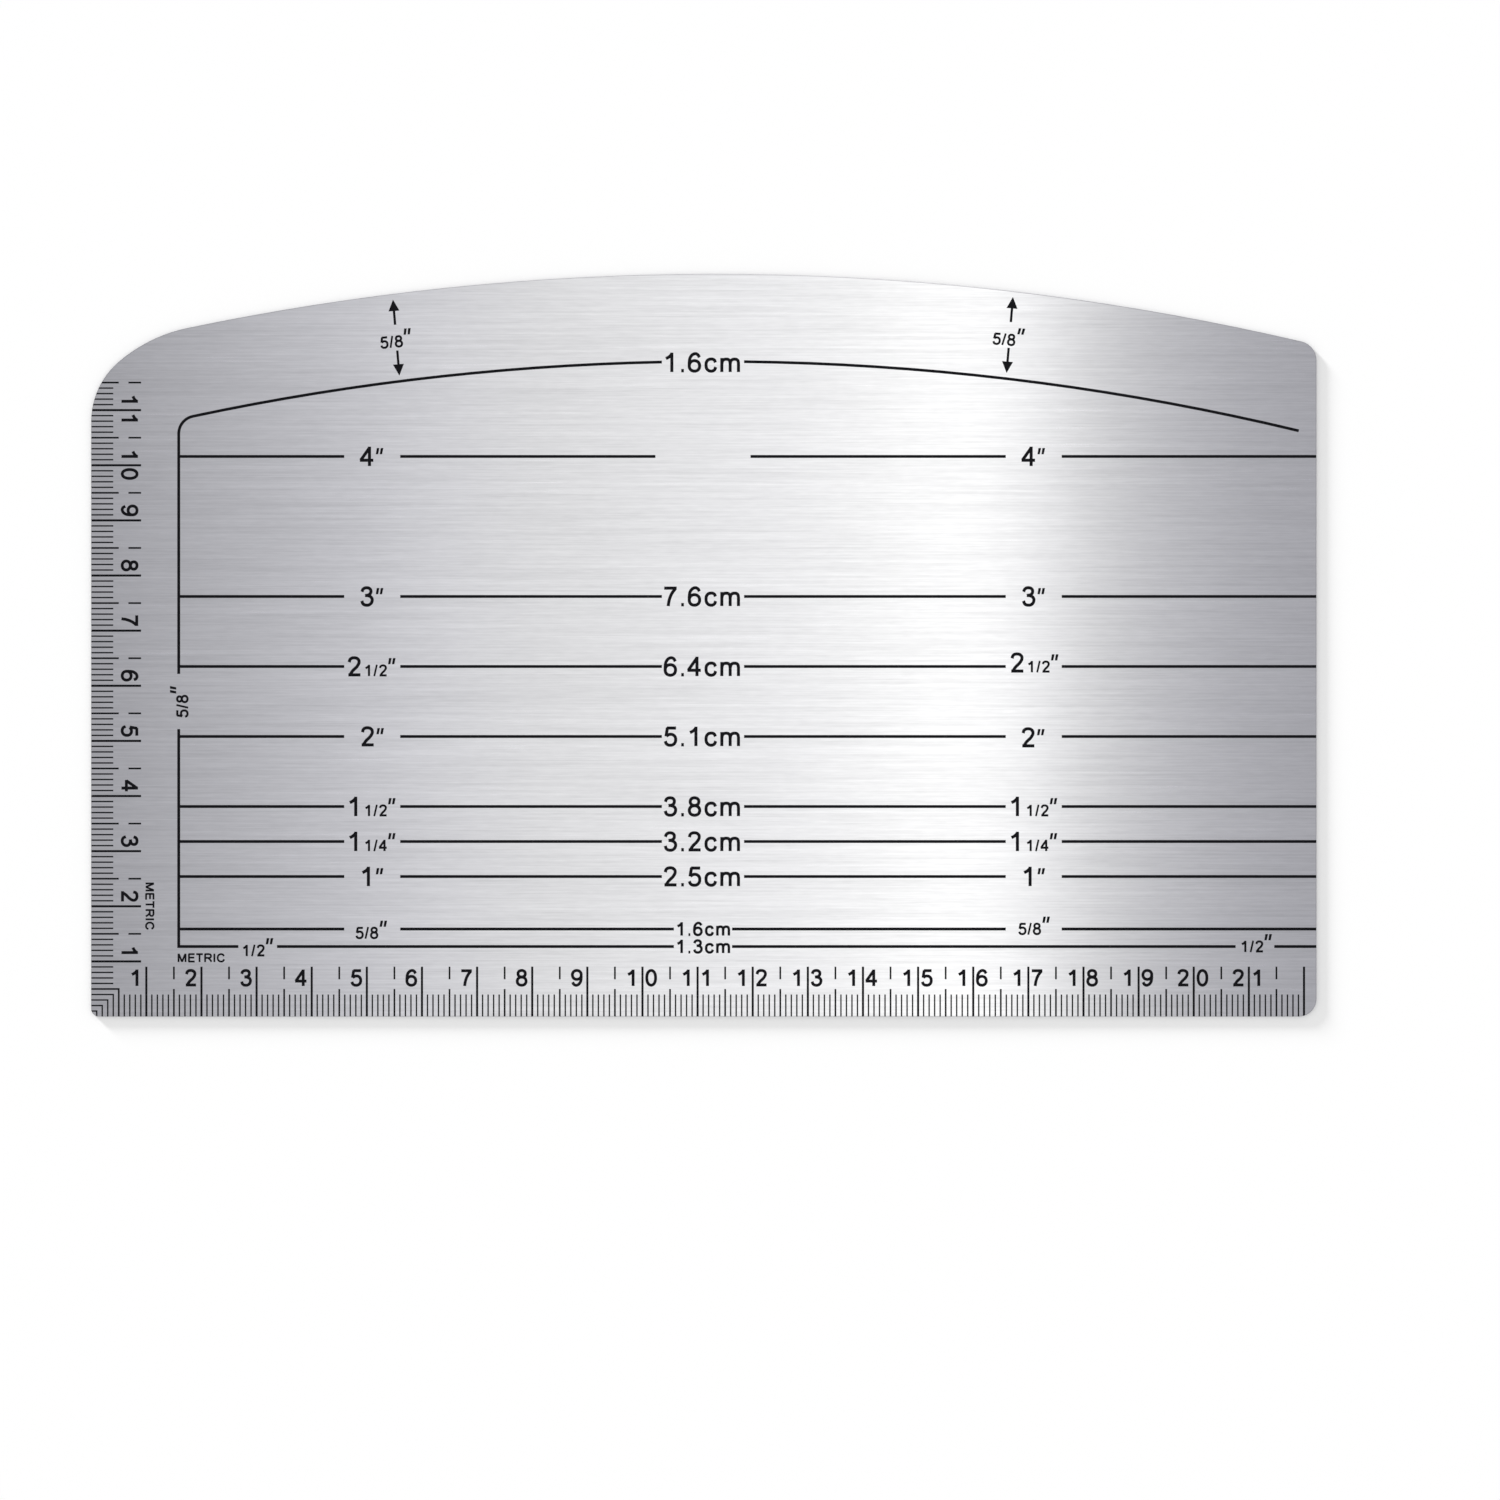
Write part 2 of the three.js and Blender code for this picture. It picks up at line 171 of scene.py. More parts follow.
class PlacementSettings(bpy.types.PropertyGroup):
    """Places of the numerals and words on the sheet"""

    edge_baseline: length("Edge Baseline", "Edge numerals above the lower edge", 5.54 * MM)
    side_baseline: length("Side Baseline", "Side numerals from the left edge", 5.49 * MM)
    before_edge_tick: length("Before Edge Tick", "Space before a centimetre tick of the edge", 0.75 * MM)
    before_side_tick: length("Before Side Tick", "Space before a centimetre tick of the side", 0.65 * MM)
    after_tick: length("After Tick", "Space between a tick and a second numeral", 0.42 * MM)
    hem_drop: length("Hem Drop", "Baseline of a hem label below its line", 1.74 * MM)
    whole_start: length("Whole Numbers", "Whole numbers from the left edge", 48.67 * MM)
    mixed_start: length("Mixed Numbers", "Mixed numbers from the left edge", 46.37 * MM)
    lone_start: length("Lone Fractions", "Lone fractions from the left edge", 47.87 * MM)
    half_start: length("Lowest Fraction", "Lowest left fraction from the left edge", 27.27 * MM)
    half_right_start: length("Lowest Right Fraction", "Lowest right fraction", 208.42 * MM)
    column_pitch: length("Column Pitch", "Distance between the two inch columns", 120.03 * MM)
    right_lift: length("Right Lift", "How much higher some right labels sit", 0.73 * MM)
    centimetre_start: length("Centimetres", "Centimetre labels from the left edge", 103.71 * MM)
    small_start: length("Small Centimetres", "Small centimetre labels from the left edge", 105.99 * MM)
    small_drop: length("Small Drop", "Baseline of a small label below its line", 1.19 * MM)
    word_edge_start: length("Edge Word", "Unit word of the edge from the left edge", 15.59 * MM)
    word_edge_baseline: length("Edge Word Baseline", "Unit word above the lower edge", 9.88 * MM)
    word_side_start: length("Side Word", "Unit word of the side above the lower edge", 24.39 * MM)
    word_side_baseline: length("Side Word Baseline", "Unit word from the left edge", 9.86 * MM)


class StageSettings(bpy.types.PropertyGroup):
    """Floor, light and camera"""

    floor_colour: colour("Floor", "Colour of the floor", (0.9, 0.9, 0.9))
    fill: share("Fill", "Level of the light from all round", 0.775)
    lamp: number("Raking Lamp", "Strength of the low lamp", 4.95)
    lamp_height: angle("Lamp Height", "Height of the low lamp above the floor", math.radians(8.2))
    lamp_turn: angle("Lamp Turn", "Direction of the low lamp round the sheet", math.radians(225.0))
    lamp_spread: angle("Lamp Spread", "Width of the low lamp, which softens the shadow", math.radians(9.0))
    tent_light: number("Tent Light", "Brightest level of the tent", 1.415)
    view_width: length("View Width", "Width that the camera takes in", 272.1 * MM)
    view_x: length("View Centre X", "Middle of the view", 8.38 * MM)
    view_y: length("View Centre Y", "Middle of the view", -19.0 * MM)


# Selecting and joining


def deselect():
    bpy.ops.object.select_all(action="DESELECT")


def take(obj):
    """Select one object alone and make it the active one."""
    deselect()
    obj.select_set(True)
    bpy.context.view_layer.objects.active = obj
    return obj


def discard(obj):
    take(obj)
    bpy.ops.object.delete()


@contextmanager
def edit_mode(obj):
    """Edit one object, with all of it selected at first."""
    take(obj)
    bpy.ops.object.mode_set(mode="EDIT")
    bpy.ops.mesh.select_all(action="SELECT")
    try:
        yield
    finally:
        bpy.ops.object.mode_set(mode="OBJECT")


def face_outwards():
    """Turn all faces of the open mesh outwards."""
    bpy.ops.mesh.select_all(action="SELECT")
    bpy.ops.mesh.normals_make_consistent(inside=False)


def raise_faces(height):
    """Pull the selected flat faces of the open mesh up into closed bodies."""
    bpy.ops.mesh.extrude_region_move(TRANSFORM_OT_translate={"value": (0.0, 0.0, height)})
    face_outwards()


def add_object(name, mesh):
    """Put a mesh in the scene as an object at the origin."""
    obj = bpy.data.objects.new(name, mesh)
    bpy.context.scene.collection.objects.link(obj)
    return take(obj)


def delete_faces(obj, chosen):
    """Delete the chosen faces of an object, and return how many stay."""
    take(obj)
    bpy.ops.object.mode_set(mode="EDIT")
    bpy.ops.mesh.select_mode(type="FACE")
    bpy.ops.mesh.select_all(action="DESELECT")
    bpy.ops.object.mode_set(mode="OBJECT")
    for face in obj.data.polygons:
        face.select = chosen(face)
    bpy.ops.object.mode_set(mode="EDIT")
    bpy.ops.mesh.delete(type="FACE")
    bpy.ops.mesh.select_mode(type="VERT")
    bpy.ops.object.mode_set(mode="OBJECT")
    return len(obj.data.polygons)


def combine(body, tool, operation):
    """Unite or intersect a body with a second one, which is used up."""
    take(body)
    modifier = body.modifiers.new(operation, "BOOLEAN")
    modifier.operation = operation
    modifier.solver = "MANIFOLD"
    modifier.object = tool
    bpy.ops.object.modifier_apply(modifier=modifier.name)
    discard(tool)
    sort_by_distance(body)


def sort_by_distance(obj):
    """Put a mesh in an order of its own, as the boolean's order changes from run to run."""
    cursor = bpy.context.scene.cursor
    cursor.location = SORT_CORNER
    with edit_mode(obj):
        bpy.ops.mesh.sort_elements(type="CURSOR_DISTANCE", elements={"VERT", "EDGE", "FACE"})
    cursor.location = (0.0, 0.0, 0.0)


def join(copies, name):
    """Join copies into one piece."""
    deselect()
    for copy in copies:
        copy.select_set(True)
    bpy.context.view_layer.objects.active = copies[0]
    bpy.ops.object.join()
    piece = bpy.context.object
    piece.name = name
    piece.data.name = name
    return piece


def enamel_piece(piece, settings):
    """Finish a new piece as enamel that rides on the sheet."""
    piece.data.materials.clear()
    piece.data.materials.append(black_enamel(settings))
    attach(piece, "root")


# Materials

NUMBER = "NodeSocketFloat"
VECTOR = "NodeSocketVector"

# Each layer of brush lines: how much finer it is along, across and into the sheet, and its weight.
BRUSH_LAYERS = (
    ((12.0, 1.1, 1.1), 0.28),
    ((1.0, 1.0, 1.0), 0.5),
    ((0.4, 0.45, 0.45), 0.18),
    ((3.0, 4.0, 4.0), 0.42),
)
BRUSH_DETAIL = 1.0
MOTTLE_DETAIL = 3.0
MOTTLE_RANGE = (0.3, 0.7)

# The finish of the cut edge begins just below a face and is full a little deeper.
EDGE_BEGINS = 0.002 * MM
EDGE_FULL = 0.012 * MM


def feed(socket, source):
    """Link an input to another node's output, or give it a value."""
    if isinstance(source, bpy.types.NodeSocket):
        socket.id_data.links.new(source, socket)
    else:
        socket.default_value = source


def add_node(nodes, kind, tree=None, **sources):
    """Add a shader node and feed its inputs by name, with underscores for spaces."""
    node = nodes.new(f"ShaderNode{kind}")
    if tree is not None:
        node.node_tree = tree
    for name, source in sources.items():
        feed(node.inputs[name.replace("_", " ")], source)
    return node


def maths(nodes, operation, *sources, kind="Math", clamp=False):
    """The result of a Math or VectorMath node."""
    node = nodes.new(f"ShaderNode{kind}")
    node.operation = operation
    if clamp:
        node.use_clamp = True
    for socket, source in zip(node.inputs, sources):
        feed(socket, source)
    return node.outputs[0]


def ranged(nodes, value, low, high, to_low=0.0, to_high=1.0):
    """A value spread from one range over another."""
    node = add_node(
        nodes, "MapRange", Value=value, From_Min=low, From_Max=high, To_Min=to_low, To_Max=to_high,
    )
    return node.outputs["Result"]


def mix(nodes, kind, factor, first, second):
    """A mix of two colours (RGBA) or of two numbers (FLOAT)."""
    node = nodes.new("ShaderNodeMix")
    node.data_type = kind
    label = "Color" if kind == "RGBA" else "Float"
    sockets = {socket.identifier: socket for socket in (*node.inputs, *node.outputs)}
    feed(sockets["Factor_Float"], factor)
    feed(sockets[f"A_{label}"], first)
    feed(sockets[f"B_{label}"], second)
    return sockets[f"Result_{label}"]


def start_material(name):
    """A new material's nodes and Principled BSDF, or None for both if it is there already."""
    material = bpy.data.materials.get(name)
    if material is not None:
        return material, None, None
    material = bpy.data.materials.new(name)
    material.use_nodes = True
    nodes = material.node_tree.nodes
    return material, nodes, nodes["Principled BSDF"].inputs


def start_group(name, inputs, outputs):
    """A new node group's nodes, inputs and outputs, or None for them if it is there already."""
    tree = bpy.data.node_groups.get(name)
    if tree is not None:
        return tree, None, None, None
    tree = bpy.data.node_groups.new(name, "ShaderNodeTree")
    for label, kind in inputs.items():
        tree.interface.new_socket(name=label, in_out="INPUT", socket_type=kind)
    for label in outputs:
        tree.interface.new_socket(name=label, in_out="OUTPUT", socket_type=NUMBER)
    given = tree.nodes.new("NodeGroupInput").outputs
    return tree, tree.nodes, given, tree.nodes.new("NodeGroupOutput").inputs


def in_cells(nodes, place, length, width):
    """Places counted in cells of this length along X and this width both other ways."""
    size = add_node(nodes, "CombineXYZ", X=length, Y=width, Z=width)
    return maths(nodes, "DIVIDE", place, size.outputs["Vector"], kind="VectorMath")


def noise(nodes, place, detail):
    return add_node(nodes, "TexNoise", Vector=place, Scale=1.0, Detail=detail).outputs["Fac"]


def brush_lines_group():
    """Straight brush lines along X: short ones, long ones, faint broad bands and hairlines."""
    tree, nodes, given, result = start_group(
        "brush_lines",
        {"Place": VECTOR, "Line Length": NUMBER, "Line Width": NUMBER, "Contrast": NUMBER},
        ("Shade", "Height"),
    )
    if nodes is None:
        return tree
    place = in_cells(nodes, given["Place"], given["Line Length"], given["Line Width"])
    total = 0.0
    for stretch, weight in BRUSH_LAYERS:
        stretched = maths(nodes, "MULTIPLY", place, stretch, kind="VectorMath")
        layer = maths(nodes, "MULTIPLY", noise(nodes, stretched, BRUSH_DETAIL), weight)
        total = maths(nodes, "ADD", total, layer)
    middle = sum(weight for _, weight in BRUSH_LAYERS) / 2
    centred = maths(nodes, "SUBTRACT", total, middle)
    spread = maths(nodes, "MULTIPLY", centred, given["Contrast"])
    feed(result["Shade"], maths(nodes, "ADD", spread, 0.5, clamp=True))
    feed(result["Height"], total)
    return tree


def mottle_group():
    """Soft irregular mottling."""
    tree, nodes, given, result = start_group("mottle", {"Place": VECTOR, "Size": NUMBER}, ("Shade",))
    if nodes is None:
        return tree
    place = in_cells(nodes, given["Place"], given["Size"], given["Size"])
    feed(result["Shade"], ranged(nodes, noise(nodes, place, MOTTLE_DETAIL), *MOTTLE_RANGE))
    return tree


def brushed_steel(steel):
    """Stainless steel brushed along X, with duller cut edges."""
    material, nodes, shader = start_material("brushed_stainless")
    if nodes is None:
        return material
    place = nodes.new("ShaderNodeTexCoord").outputs["Object"]
    lines = add_node(
        nodes, "Group", brush_lines_group(), Place=place, Line_Length=steel.scratch_length,
        Line_Width=steel.scratch_width, Contrast=steel.scratch_contrast,
    ).outputs
    clouds = add_node(nodes, "Group", mottle_group(), Place=place, Size=steel.handling_size)

    # The cut edge and its broken corners lie between the two faces.
    middle = FACE / 2
    height = add_node(nodes, "SeparateXYZ", Vector=place).outputs["Z"]
    off_middle = maths(nodes, "ABSOLUTE", maths(nodes, "SUBTRACT", height, middle))
    on_edge = ranged(nodes, off_middle, middle - EDGE_FULL, middle - EDGE_BEGINS, 1.0, 0.0)

    brushed = mix(nodes, "RGBA", lines["Shade"], steel.dark_colour, steel.bright_colour)
    feed(shader["Base Color"], mix(nodes, "RGBA", on_edge, brushed, steel.edge_colour))

    rough = steel.roughness + steel.roughness_spread
    smooth = steel.roughness - steel.roughness_spread
    brushed_roughness = ranged(nodes, lines["Shade"], 0.0, 1.0, rough, smooth)
    handled = ranged(nodes, clouds.outputs["Shade"], 0.0, 1.0, -steel.handling, steel.handling)
    face_roughness = maths(nodes, "ADD", brushed_roughness, handled)
    feed(shader["Roughness"], mix(nodes, "FLOAT", on_edge, face_roughness, steel.edge_roughness))

    tangent = nodes.new("ShaderNodeTangent")
    tangent.direction_type = "RADIAL"
    tangent.axis = "X"
    feed(shader["Tangent"], tangent.outputs["Tangent"])
    feed(shader["Anisotropic"], steel.anisotropy)
    feed(shader["Metallic"], 1.0)
    relief = add_node(
        nodes, "Bump", Strength=steel.relief, Distance=steel.scratch_depth, Height=lines["Height"],
    )
    feed(shader["Normal"], relief.outputs["Normal"])
    return material


def black_enamel(enamel):
    """Matt heat-proof enamel, baked over brushed steel, so faint brush lines show in it."""
    material, nodes, shader = start_material("heatproof_enamel")
    if nodes is None:
        return material
    place = nodes.new("ShaderNodeTexCoord").outputs["Object"]
    mottle = add_node(nodes, "Group", mottle_group(), Place=place, Size=enamel.mottle).outputs["Shade"]
    lines = add_node(
        nodes, "Group", brush_lines_group(), Place=place, Line_Length=enamel.line_length,
        Line_Width=enamel.line_width, Contrast=enamel.line_contrast,
    ).outputs
    wear = maths(nodes, "MULTIPLY", mottle, lines["Shade"])
    feed(shader["Base Color"], mix(nodes, "RGBA", wear, enamel.colour, enamel.worn_colour))
    feed(shader["Roughness"], ranged(nodes, mottle, 0.0, 1.0, enamel.roughness, enamel.dull_roughness))
    feed(shader["Specular IOR Level"], enamel.gloss)
    relief = add_node(
        nodes, "Bump", Strength=enamel.relief, Distance=enamel.line_depth, Height=lines["Height"],
    )
    feed(shader["Normal"], relief.outputs["Normal"])
    return material


def pale_floor(stage):
    """A matt floor that keeps its shadow, and that the camera sees as white."""
    material, nodes, shader = start_material("pale_floor")
    if nodes is None:
        return material
    seen = nodes.new("ShaderNodeLightPath").outputs["Is Camera Ray"]
    feed(shader["Base Color"], stage.floor_colour)
    feed(shader["Roughness"], 1.0)
    feed(shader["Specular IOR Level"], 0.0)
    feed(shader["Emission Color"], WHITE)
    feed(shader["Emission Strength"], maths(nodes, "MULTIPLY", seen, 1.0 - stage.floor_colour[0]))
    return material


def tent_light(strength, levels):
    """A glow that changes from left to right: at each place its level and how cool it is."""
    material, nodes, _ = start_material("tent_light")
    if nodes is None:
        return material
    nodes.clear()
    place = nodes.new("ShaderNodeTexCoord").outputs["Object"]
    across = add_node(nodes, "SeparateXYZ", Vector=place).outputs["X"]
    reach = levels[-1][0]
    ramp = add_node(nodes, "ValToRGB", Fac=ranged(nodes, across, -reach, reach))
    stops = ramp.color_ramp.elements
    while len(stops) < len(levels):
        stops.new(0.5)
    for stop, (x, level, cool) in zip(stops, levels):
        stop.position = (x + reach) / (2 * reach)
        stop.color = (level, level, level * (1.0 + cool), 1.0)
    glow = add_node(nodes, "Emission", Color=ramp.outputs["Color"], Strength=strength)
    add_node(nodes, "OutputMaterial", Surface=glow.outputs["Emission"])
    return material


def finish_node(name, material):
    """Give a CAD node its material."""
    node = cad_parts[name]
    if not node.material_slots:
        node.data.materials.append(material)
    for slot in node.material_slots:
        slot.material = material


# Letter patterns
#
# A letter is drawn by a pen of even width along centre lines, in digit heights
# from the left of its ink. Its advance and its bearing left of the ink come first.

# The advance that all digits share.
DIGIT = 0.777

# Each style has a pen of its own, and the letters that it needs.
STYLES = {
    "large": ("pen", "12345678.cm"),
    "scale": ("scale_pen", "0123456789"),
    "small": ("small_pen", "1234568/.cm"),
    "word": ("word_pen", "METRIC"),
}

# Straight steps from one point of a curved stroke to the next.
CURVE_STEPS = 8

# Points of a letter nearer than this share of its height become one.
LETTER_MERGE = 1e-5

# An oval's points clockwise from its left: where each lies and which way it runs on. Its handles
# are longer than an ellipse's 0.55 of a radius, which squares its shoulders.
QUARTERS = ((-1, 0, 0, 1), (0, 1, 1, 0), (1, 0, 0, -1), (0, -1, -1, 0))
OVAL_HANDLE = 0.6


def curve(*points):
    return "curve", points, 1.0


def line(*points, weight=1.0):
    return "line", points, weight


def oval(x, y, half_width, half_height):
    return "oval", ((x, y), (half_width, half_height)), 1.0


# The inch mark is two wedges, in mark heights: left and right of a wedge's foot and head.
INCH_MARK = '"'
MARK_FOOT = (-0.03, 0.35)
MARK_HEAD = (0.13, 0.56)
MARK_PITCH = 0.634

LETTERS = {
    "0": (DIGIT, 0.058, (oval(0.33, 0.495, 0.268, 0.447),)),
    "1": (DIGIT, 0.152, (
        line((0.307, 0.0), (0.307, 1.0)),
        curve((0.0, 0.694), (0.14, 0.765), (0.25, 0.86), (0.31, 0.94)),
    )),
    "2": (DIGIT, 0.042, (
        curve((0.08, 0.715), (0.14, 0.875), (0.33, 0.942), (0.53, 0.875), (0.588, 0.735), (0.50, 0.52),
              (0.26, 0.27), (0.12, 0.06)),
        line((0.035, 0.062), (0.66, 0.062)),
    )),
    "3": (DIGIT, 0.059, (
        curve((0.065, 0.735), (0.14, 0.885), (0.31, 0.942), (0.48, 0.885), (0.53, 0.755), (0.46, 0.605),
              (0.23, 0.54)),
        curve((0.23, 0.545), (0.42, 0.525), (0.56, 0.43), (0.595, 0.29), (0.50, 0.105), (0.31, 0.045),
              (0.13, 0.11), (0.06, 0.27)),
    )),
    "4": (DIGIT, 0.018, (
        line((0.495, 0.0), (0.495, 1.0)),
        line((0.0, 0.298), (0.695, 0.298)),
        line((0.045, 0.30), (0.495, 0.94)),
    )),
    "5": (DIGIT, 0.058, (
        line((0.62, 0.93), (0.15, 0.93)),
        line((0.175, 0.955), (0.10, 0.50)),
        curve((0.115, 0.515), (0.30, 0.605), (0.52, 0.54), (0.598, 0.325), (0.51, 0.11), (0.305, 0.044),
              (0.13, 0.11), (0.06, 0.255)),
    )),
    "6": (DIGIT, 0.0525, (
        curve((0.585, 0.755), (0.50, 0.895), (0.355, 0.942), (0.145, 0.80), (0.064, 0.47), (0.068, 0.33)),
        oval(0.33, 0.315, 0.268, 0.27),
    )),
    "7": (DIGIT, 0.066, (
        line((0.0, 0.925), (0.645, 0.925)),
        curve((0.58, 0.90), (0.40, 0.66), (0.265, 0.33), (0.205, 0.0)),
    )),
    "8": (DIGIT, 0.057, (
        oval(0.33, 0.745, 0.222, 0.197),
        oval(0.33, 0.29, 0.268, 0.245),
    )),
    "9": (DIGIT, 0.059, (
        curve((0.075, 0.232), (0.16, 0.092), (0.305, 0.045), (0.515, 0.187), (0.596, 0.517), (0.592, 0.657)),
        oval(0.33, 0.672, 0.268, 0.27),
    )),
    ".": (0.362, 0.114, (line((0.0, 0.07), (0.14, 0.07), weight=1.08),)),
    "/": (0.365, 0.02, (line((0.04, -0.01), (0.27, 1.01), weight=0.86),)),
    "c": (0.698, 0.093, (
        curve((0.545, 0.49), (0.48, 0.62), (0.32, 0.668), (0.13, 0.59), (0.06, 0.36), (0.13, 0.13),
              (0.32, 0.045), (0.49, 0.11), (0.555, 0.26)),
    )),
    "m": (1.164, 0.156, (
        line((0.061, 0.0), (0.061, 0.725)),
        curve((0.061, 0.42), (0.12, 0.60), (0.29, 0.663), (0.44, 0.61), (0.49, 0.45)),
        line((0.49, 0.47), (0.49, 0.0)),
        curve((0.49, 0.42), (0.55, 0.60), (0.72, 0.663), (0.87, 0.61), (0.919, 0.45)),
        line((0.919, 0.47), (0.919, 0.0)),
    )),
    "M": (1.164, 0.102, (
        line((0.062, 0.0), (0.062, 1.0)),
        line((0.894, 0.0), (0.894, 1.0)),
        line((0.09, 0.97), (0.478, 0.03)),
        line((0.866, 0.97), (0.478, 0.03)),
    )),
    "E": (0.932, 0.11, (
        line((0.062, 0.0), (0.062, 1.0)),
        line((0.03, 0.938), (0.73, 0.938)),
        line((0.03, 0.53), (0.69, 0.53)),
        line((0.03, 0.062), (0.747, 0.062)),
    )),
    "T": (0.853, 0.033, (
        line((0.0, 0.938), (0.793, 0.938)),
        line((0.3965, 0.0), (0.3965, 0.95)),
    )),
    "R": (1.009, 0.11, (
        line((0.062, 0.0), (0.062, 1.0)),
        curve((0.03, 0.938), (0.28, 0.938), (0.53, 0.935), (0.70, 0.87), (0.755, 0.72), (0.70, 0.57),
              (0.53, 0.50), (0.28, 0.495), (0.03, 0.495)),
        curve((0.40, 0.50), (0.59, 0.35), (0.82, 0.03)),
    )),
    "I": (0.388, 0.13, (line((0.066, 0.0), (0.066, 1.0)),)),
    "C": (1.009, 0.07, (
        curve((0.80, 0.70), (0.68, 0.88), (0.45, 0.94), (0.17, 0.81), (0.065, 0.51), (0.16, 0.20),
              (0.44, 0.06), (0.70, 0.13), (0.83, 0.335)),
    )),
    INCH_MARK: (1.3, 0.06, ()),
}


def oval_path(spline, centre, radii):
    """Shape a circle's four points into an oval, clockwise from its left."""
    for point in spline.bezier_points:
        point.handle_left_type = "FREE"
        point.handle_right_type = "FREE"
    for point, (across, up, run_x, run_y) in zip(spline.bezier_points, QUARTERS):
        point.co = (centre[0] + across * radii[0], centre[1] + up * radii[1], 0.0)
        reach = (run_x * radii[0] * OVAL_HANDLE, run_y * radii[1] * OVAL_HANDLE)
        point.handle_left = (point.co.x - reach[0], point.co.y - reach[1], 0.0)
        point.handle_right = (point.co.x + reach[0], point.co.y + reach[1], 0.0)


def open_path(spline, points, handles):
    """Lay a curve of two points through more, with straight (VECTOR) or smooth (AUTO) handles."""
    spline.bezier_points.add(len(points) - 2)
    for point, (x, y) in zip(spline.bezier_points, points):
        point.co = (x, y, 0.0)
        point.handle_left_type = handles
        point.handle_right_type = handles


def pen_stroke(kind, points, width):
    """Model one stroke of the pen, a unit tall: a centre line, pulled up and given its width."""
    deselect()
    if kind == "oval":
        bpy.ops.curve.primitive_bezier_circle_add(radius=1.0)
        oval_path(bpy.context.object.data.splines[0], *points)
    else:
        bpy.ops.curve.primitive_bezier_curve_add(radius=1.0)
        open_path(bpy.context.object.data.splines[0], points, "VECTOR" if kind == "line" else "AUTO")
    bpy.context.object.data.resolution_u = 1 if kind == "line" else CURVE_STEPS
    bpy.ops.object.convert(target="MESH")
    stroke = bpy.context.object
    with edit_mode(stroke):
        bpy.ops.mesh.extrude_edges_move(TRANSFORM_OT_translate={"value": (0.0, 0.0, 1.0)})
    wall = stroke.modifiers.new("pen", "SOLIDIFY")
    wall.thickness = width
    wall.offset = 0.0
    wall.use_even_offset = True
    bpy.ops.object.modifier_apply(modifier=wall.name)
    return stroke


def wedge(shift):
    """Model one wedge of the inch mark, a unit tall."""
    deselect()
    bpy.ops.mesh.primitive_plane_add(size=1.0, location=(shift, 0.5, 0.0))
    piece = bpy.context.object
    bpy.ops.object.transform_apply(location=True, rotation=False, scale=False)
    for vertex in piece.data.vertices:
        left, right = MARK_HEAD if vertex.co.y > 0.5 else MARK_FOOT
        vertex.co.x = shift + (left if vertex.co.x < shift else right)
    with edit_mode(piece):
        raise_faces(1.0)
    return piece


def keep_pattern(style, sign, body):
    """Keep a finished letter's mesh for copying and take its object out of the scene."""
    with edit_mode(body):
        bpy.ops.mesh.remove_doubles(threshold=LETTER_MERGE)
        bpy.ops.mesh.dissolve_limited(angle_limit=FLAT)
        face_outwards()
    mesh = body.data
    mesh.name = pattern_name(style, sign)
    mesh.use_fake_user = True
    discard(body)


def pattern_name(style, sign):
    return f"pattern_{style}_{ord(sign)}"


def pattern(style, sign):
    """The kept mesh of a letter."""
    mesh = bpy.data.meshes.get(pattern_name(style, sign))
    if mesh is None:
        raise RuntimeError("The letter patterns are missing: run Letter Patterns first.")
    return mesh


# Setting type


def set_type(parts, start, enamel, tracking=0.0, turn=0.0):
    """Copy letters to their places along one baseline.

    Each part is its style, its text, its height, its lift above the baseline and the space before it."""
    thickness = enamel.standing + enamel.sunk
    baseline = Matrix.Translation((*start, FACE - enamel.sunk)) @ Matrix.Rotation(turn, 4, "Z")
    copies = []
    along = 0.0
    for style, text, height, lift, space in parts:
        along += space
        for sign in text:
            advance, bearing, _ = LETTERS[sign]
            mesh = pattern(style, sign).copy()
            ink = along + bearing * height
            place = Matrix.Translation((ink, lift, 0.0))
            size = Matrix.Diagonal((height, height, thickness, 1.0))
            mesh.transform(baseline @ place @ size)
            copies.append(add_object("letter", mesh))
            along += advance * height + tracking
    return copies


def line_height(line_name):
    """Height of the middle of a level hem line."""
    low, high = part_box(f"{line_name}_line_right")
    return (low.y + high.y) / 2


def numeral(style, text, height, before=0.0):
    """A part of a label that stands on its baseline."""
    return style, text, height, 0.0, before


def inch_mark(lettering, before=0.0):
    return "small", INCH_MARK, lettering.mark_height, lettering.mark_lift, before


def mixed_number(whole, fraction, lettering):
    """A whole number, a small fraction after it and an inch mark."""
    return [
        numeral("large", whole, lettering.hem_height),
        numeral("small", fraction, lettering.fraction_height, lettering.fraction_step),
        inch_mark(lettering, -lettering.mark_tuck),
    ]


def five_eighths(lettering):
    return [numeral("small", "5/8", lettering.lone_height), inch_mark(lettering)]


def settings_of(context):
    scene = context.scene
    return scene.hem_gauge_enamel, scene.hem_gauge_lettering, scene.hem_gauge_placement


# Operators


class HEM_GAUGE_OT_brushed_sheet(bpy.types.Operator):
    """Finish the sheet in brushed stainless steel"""

    bl_idname = "hem_gauge.brushed_sheet"
    bl_label = "Brushed Sheet"

    def execute(self, context):
        finish_node("gauge_plate", brushed_steel(context.scene.hem_gauge_steel))
        return {"FINISHED"}


class HEM_GAUGE_OT_line_enamel(bpy.types.Operator):
    """Finish the hem lines and arrows in black enamel"""

    bl_idname = "hem_gauge.line_enamel"
    bl_label = "Line Enamel"

    def execute(self, context):
        material = black_enamel(context.scene.hem_gauge_enamel)
        for name in ENAMEL_NODES:
            finish_node(name, material)
        return {"FINISHED"}


